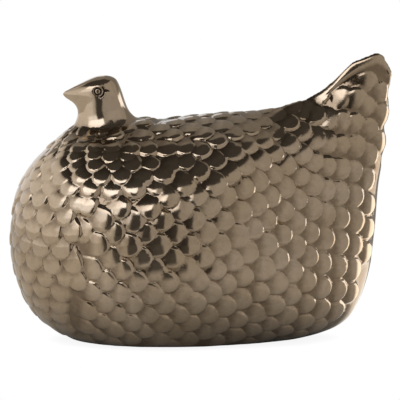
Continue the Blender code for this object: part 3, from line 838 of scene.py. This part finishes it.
def carve(item, scales):
    """Carves feathers and eyes, and notes the tone: 1 light glaze, 0 pooled glaze with painted shade,
    -1 painted shade in the eye's lines.
    """
    mesh = item.data
    points = points_of(mesh)
    shares, pool_and_shade = feather_share(points, scales)
    plain = plain_share(points)
    eyes = eye_grooves(points)
    height = np.maximum(shares * feather_height(points), NECK_HEIGHT * plain) + CARVING_FLOOR
    height = height * smoothstep(points[:, 2], 1.0, 7.0) - EYE_GROOVE * eyes
    # Tone -1 in the eye's grooves marks the painted shade there
    pool_and_shade = np.maximum(pool_and_shade * smoothstep(shares, 0.0, 0.2), plain) * (1.0 - eyes) - eyes
    moved = points + normals_of(mesh) * height[:, None]
    mesh.vertices.foreach_set("co", (moved * MM).ravel())
    mesh.attributes.new("glaze_pool_and_painted_shade", "FLOAT", "POINT").data.foreach_set("value", pool_and_shade)
    mesh.update()


def hollow(item):
    """The cast hollow, a wall's thickness inside the skin, with the pour hole below it."""
    inner = plain_hen("hollow_inside", WALL - CARVING_FLOOR, INNER_VOXEL, INNER_SMOOTH_STEPS)
    thin_out(inner, INNER_TRIANGLES)
    bm = bmesh.new()
    bmesh.ops.create_cone(
        bm,
        cap_ends=True,
        segments=HOLE_SEGMENTS,
        radius1=POUR_HOLE_RADIUS * MM,
        radius2=POUR_HOLE_RADIUS * MM,
        depth=(WALL + 20.0) * MM,
    )
    bmesh.ops.translate(bm, verts=bm.verts, vec=(POUR_HOLE_X * MM, 0, 0))
    hole = new_object("pour_hole", bm)
    for tool in (inner, hole):
        cut = item.modifiers.new(tool.name, "BOOLEAN")
        cut.operation = "DIFFERENCE"
        cut.solver = "EXACT"
        cut.object = cutter(tool)
    apply_modifiers(item)
    for tool in (inner, hole):
        bpy.data.objects.remove(tool, do_unlink=True)


def fit_to_frame(item):
    """Brings the finer skin into the box of the CAD model, a fraction of a millimetre."""
    low, high = (np.array(corner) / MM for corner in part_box("hen"))
    points = points_of(item.data)
    own_low, own_high = points.min(0), points.max(0)
    share = (high - low) / (own_high - own_low)
    points = low + (points - own_low) * share
    item.data.vertices.foreach_set("co", (points * MM).ravel())
    item.data.update()


def node(tree, kind, **inputs):
    made = tree.nodes.new(kind)
    for name, value in inputs.items():
        made.inputs[name.replace("_", " ")].default_value = value
    return made


def glaze_material():
    """A bronze lustre glaze: clouded, darker between the feathers with pooled glaze and painted shade,
    darkest with painted shade in the eye's lines.
    """
    material = bpy.data.materials.new("lustre_glaze")
    material.use_nodes = True
    tree = material.node_tree
    surface = tree.nodes["Principled BSDF"]
    surface.inputs["Metallic"].default_value = 1.0
    surface.inputs["Roughness"].default_value = ROUGHNESS
    surface.inputs["Coat Weight"].default_value = COAT
    surface.inputs["Coat Roughness"].default_value = COAT_ROUGHNESS
    place = tree.nodes.new("ShaderNodeTexCoord")
    cloud = node(tree, "ShaderNodeTexNoise", Scale=CLOUD_SCALE, Detail=4.0, Roughness=0.55)
    tree.links.new(place.outputs["Object"], cloud.inputs["Vector"])
    tint = tree.nodes.new("ShaderNodeMix")
    tint.data_type = "RGBA"
    tint.inputs["A"].default_value = GLAZE_WARM
    tint.inputs["B"].default_value = GLAZE_LIGHT
    spread = node(tree, "ShaderNodeMapRange", From_Min=0.35, From_Max=0.65)
    tree.links.new(cloud.outputs["Fac"], spread.inputs["Value"])
    tree.links.new(spread.outputs["Result"], tint.inputs["Factor"])
    # Where the glaze is pooled and painted with shade, as noted while carving
    pool_and_shade_attribute = tree.nodes.new("ShaderNodeAttribute")
    pool_and_shade_attribute.attribute_name = "glaze_pool_and_painted_shade"
    blotch = node(tree, "ShaderNodeTexNoise", Scale=BLOTCH_SCALE, Detail=3.0, Roughness=0.6)
    tree.links.new(place.outputs["Object"], blotch.inputs["Vector"])
    mottled = math_node(tree, "SUBTRACT", blotch.outputs["Fac"], 0.5)
    mottled = math_node(tree, "MULTIPLY", mottled, MOTTLE)
    lightness = math_node(tree, "ADD", pool_and_shade_attribute.outputs["Fac"], mottled)
    # Mixes in the pooled glaze with painted shade at the feather roots
    tone = tree.nodes.new("ShaderNodeMix")
    tone.data_type = "RGBA"
    tone.inputs["A"].default_value = GLAZE_POOLED_AND_PAINTED_SHADE
    tree.links.new(tint.outputs["Result"], tone.inputs["B"])
    tree.links.new(lightness, tone.inputs["Factor"])
    # Painted shade, near black, in the eye's grooves
    outside = node(tree, "ShaderNodeMapRange", From_Min=-0.8, From_Max=-0.1)
    tree.links.new(pool_and_shade_attribute.outputs["Fac"], outside.inputs["Value"])
    eye_line_shade = tree.nodes.new("ShaderNodeMix")
    eye_line_shade.data_type = "RGBA"
    eye_line_shade.inputs["A"].default_value = PAINTED_SHADE_IN_EYE_LINES
    tree.links.new(tone.outputs["Result"], eye_line_shade.inputs["B"])
    tree.links.new(outside.outputs["Result"], eye_line_shade.inputs["Factor"])
    tree.links.new(eye_line_shade.outputs["Result"], surface.inputs["Base Color"])
    grain = node(tree, "ShaderNodeTexNoise", Scale=GRAIN_SCALE, Detail=2.0)
    tree.links.new(place.outputs["Object"], grain.inputs["Vector"])
    bump = node(tree, "ShaderNodeBump", Strength=0.35, Distance=GRAIN_HEIGHT)
    tree.links.new(grain.outputs["Fac"], bump.inputs["Height"])
    tree.links.new(bump.outputs["Normal"], surface.inputs["Normal"])
    return material


def make_hen():
    hen = plain_hen("hen_glazed_skin", 0.0, VOXEL, SMOOTH_STEPS)
    tree = tree_of(hen)
    finer = hen.modifiers.new("finer_grid", "SUBSURF")
    finer.levels = 1
    finer.render_levels = 1
    apply_modifiers(hen)
    for radius in EYE_REFINED_RADII:
        refine(hen, (EYE_X, EYE_Z), radius)
    carve(hen, make_scales(tree))
    stand_flat(hen, FOOT_CUT)
    thin_out(hen, SKIN_TRIANGLES)
    stand_flat(hen, FOOT_TRIM)
    hollow(hen)
    fit_to_frame(hen)
    hen.data.materials.clear()
    hen.data.materials.append(glaze_material())
    hen.data.shade_smooth()
    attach(hen, "root")
    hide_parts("hen")
    return hen


def math_node(tree, kind, first, second=0.0):
    """A math node fed by a socket or a number on each side; gives its result."""
    made = tree.nodes.new("ShaderNodeMath")
    made.operation = kind
    for socket, value in zip(made.inputs, (first, second)):
        if isinstance(value, bpy.types.NodeSocket):
            tree.links.new(value, socket)
        else:
            socket.default_value = value
    return made.outputs[0]


def soft_step(tree, value, edge, width):
    made = tree.nodes.new("ShaderNodeMapRange")
    made.interpolation_type = "SMOOTHSTEP"
    tree.links.new(value, made.inputs["Value"])
    made.inputs["From Min"].default_value = edge - width / 2.0
    made.inputs["From Max"].default_value = edge + width / 2.0
    return made.outputs["Result"]


def band(tree, value, low, high, soft):
    """1 between two edges and 0 outside them."""
    share = soft_step(tree, value, low, soft)
    beyond = soft_step(tree, value, high, soft)
    return math_node(tree, "MULTIPLY", share, math_node(tree, "SUBTRACT", 1.0, beyond))


def mixed(tree, share, level, brightness):
    """The level so far, turned into the brightness by a share."""
    mix = tree.nodes.new("ShaderNodeMix")
    tree.links.new(share, mix.inputs["Factor"])
    if isinstance(level, float):
        mix.inputs["A"].default_value = level
    else:
        tree.links.new(level, mix.inputs["A"])
    mix.inputs["B"].default_value = brightness
    return mix.outputs["Result"]


def degrees_round(tree, split):
    """Direction in plan, in degrees from the camera's side; to the right is positive."""
    to_camera = math_node(tree, "MULTIPLY", split.outputs["Y"], -1.0)
    around = math_node(tree, "ARCTAN2", split.outputs["X"], to_camera)
    return math_node(tree, "MULTIPLY", around, 180.0 / math.pi)


def make_studio():
    """A white room to the camera; soft bright and dark walls to the glaze."""
    world = bpy.data.worlds.new("studio")
    bpy.context.scene.world = world
    world.use_nodes = True
    tree = world.node_tree
    room = tree.nodes["Background"]
    place = tree.nodes.new("ShaderNodeTexCoord")
    split = tree.nodes.new("ShaderNodeSeparateXYZ")
    tree.links.new(place.outputs["Generated"], split.inputs["Vector"])
    around = degrees_round(tree, split)
    up = math_node(tree, "ARCSINE", split.outputs["Z"])
    up = math_node(tree, "MULTIPLY", up, 180.0 / math.pi)
    level = ROOM_LEVEL
    for left, right, low, high, soft, brightness in ROOM_PATCHES:
        share = band(tree, around, left, right, soft)
        share = math_node(tree, "MULTIPLY", share, band(tree, up, low, high, soft))
        level = mixed(tree, share, level, brightness)
    tree.links.new(level, room.inputs["Strength"])
    coolness = node(tree, "ShaderNodeMapRange", From_Min=COOL_FROM, From_Max=COOL_TO)
    tree.links.new(level, coolness.inputs["Value"])
    tint = tree.nodes.new("ShaderNodeMix")
    tint.data_type = "RGBA"
    tint.inputs["A"].default_value = ROOM_WARM
    tint.inputs["B"].default_value = ROOM_COOL
    tree.links.new(coolness.outputs["Result"], tint.inputs["Factor"])
    tree.links.new(tint.outputs["Result"], room.inputs["Color"])
    white = tree.nodes.new("ShaderNodeBackground")
    white.inputs["Strength"].default_value = 1.0
    white.inputs["Color"].default_value = (1.0, 1.0, 1.0, 1.0)
    seen = tree.nodes.new("ShaderNodeLightPath")
    either = tree.nodes.new("ShaderNodeMixShader")
    tree.links.new(seen.outputs["Is Camera Ray"], either.inputs["Fac"])
    tree.links.new(room.outputs["Background"], either.inputs[1])
    tree.links.new(white.outputs["Background"], either.inputs[2])
    tree.links.new(either.outputs["Shader"], tree.nodes["World Output"].inputs["Surface"])
    bpy.context.scene.view_settings.view_transform = "Standard"


def glow_material(name):
    """A material that only glows, with the colour socket still to be fed."""
    material = bpy.data.materials.new(name)
    material.use_nodes = True
    tree = material.node_tree
    tree.nodes.remove(tree.nodes["Principled BSDF"])
    glow = tree.nodes.new("ShaderNodeEmission")
    tree.links.new(glow.outputs["Emission"], tree.nodes["Material Output"].inputs["Surface"])
    return material, tree, glow


def pale_floor():
    """White, with a faint soft shade where the hen stands."""
    material, tree, glow = glow_material("floor")
    shade = tree.nodes.new("ShaderNodeAmbientOcclusion")
    shade.samples = SHADE_SAMPLES
    shade.inputs["Distance"].default_value = SEEN_SHADE_REACH
    soft = node(tree, "ShaderNodeMapRange", To_Min=SEEN_SHADE_DARKEST)
    tree.links.new(shade.outputs["AO"], soft.inputs["Value"])
    tree.links.new(soft.outputs["Result"], glow.inputs["Strength"])
    return material


def mirrored_floor():
    """The floor as the glaze sees it: dim in front of the hen, white behind it."""
    material, tree, glow = glow_material("floor_in_reflections")
    place = tree.nodes.new("ShaderNodeTexCoord")
    split = tree.nodes.new("ShaderNodeSeparateXYZ")
    tree.links.new(place.outputs["Object"], split.inputs["Vector"])
    around = degrees_round(tree, split)
    far = tree.nodes.new("ShaderNodeVectorMath")
    far.operation = "LENGTH"
    tree.links.new(place.outputs["Object"], far.inputs[0])
    level = FLOOR_LEVEL
    for left, right, soft, brightness, start in FLOOR_PATCHES:
        share = band(tree, around, left, right, soft)
        if start:
            away = soft_step(tree, far.outputs["Value"], start, 0.5 * start)
            share = math_node(tree, "MULTIPLY", share, away)
        level = mixed(tree, share, level, brightness)
    shade = tree.nodes.new("ShaderNodeAmbientOcclusion")
    shade.samples = SHADE_SAMPLES
    shade.inputs["Distance"].default_value = MIRRORED_SHADE_REACH
    shade.inputs["Color"].default_value = ROOM_WARM
    tree.links.new(shade.outputs["Color"], glow.inputs["Color"])
    tree.links.new(level, glow.inputs["Strength"])
    return material


def make_floor():
    """One pale floor for the camera, and one in the room's tone for the reflections."""
    for name, height, material in (
        ("floor", -FLOOR_DROP, pale_floor()),
        ("floor_in_reflections", -2.0 * FLOOR_DROP, mirrored_floor()),
    ):
        bpy.ops.mesh.primitive_plane_add(size=FLOOR_SIZE, location=(0.0, 0.0, height))
        floor = bpy.context.object
        floor.name = name
        floor.data.materials.append(material)
        floor.visible_shadow = False
        floor.visible_diffuse = False
        floor.visible_camera = name == "floor"
        floor.visible_glossy = name != "floor"


def make_camera():
    turn, lift = math.radians(CAMERA_TURN), math.radians(CAMERA_LIFT)
    ahead = Vector(
        (-math.sin(turn) * math.cos(lift), math.cos(turn) * math.cos(lift), -math.sin(lift))
    )
    camera = bpy.data.objects.new("camera", bpy.data.cameras.new("camera"))
    bpy.context.scene.collection.objects.link(camera)
    camera.location = Vector(CAMERA_TARGET) - ahead * CAMERA_DISTANCE
    camera.rotation_euler = ahead.to_track_quat("-Z", "Y").to_euler()
    camera.data.sensor_width = SENSOR_WIDTH
    camera.data.lens = SENSOR_WIDTH * CAMERA_DISTANCE / FRAME_WIDTH
    camera.data.clip_end = 20.0
    bpy.context.scene.camera = camera


make_hen()
make_floor()
make_studio()
make_camera()
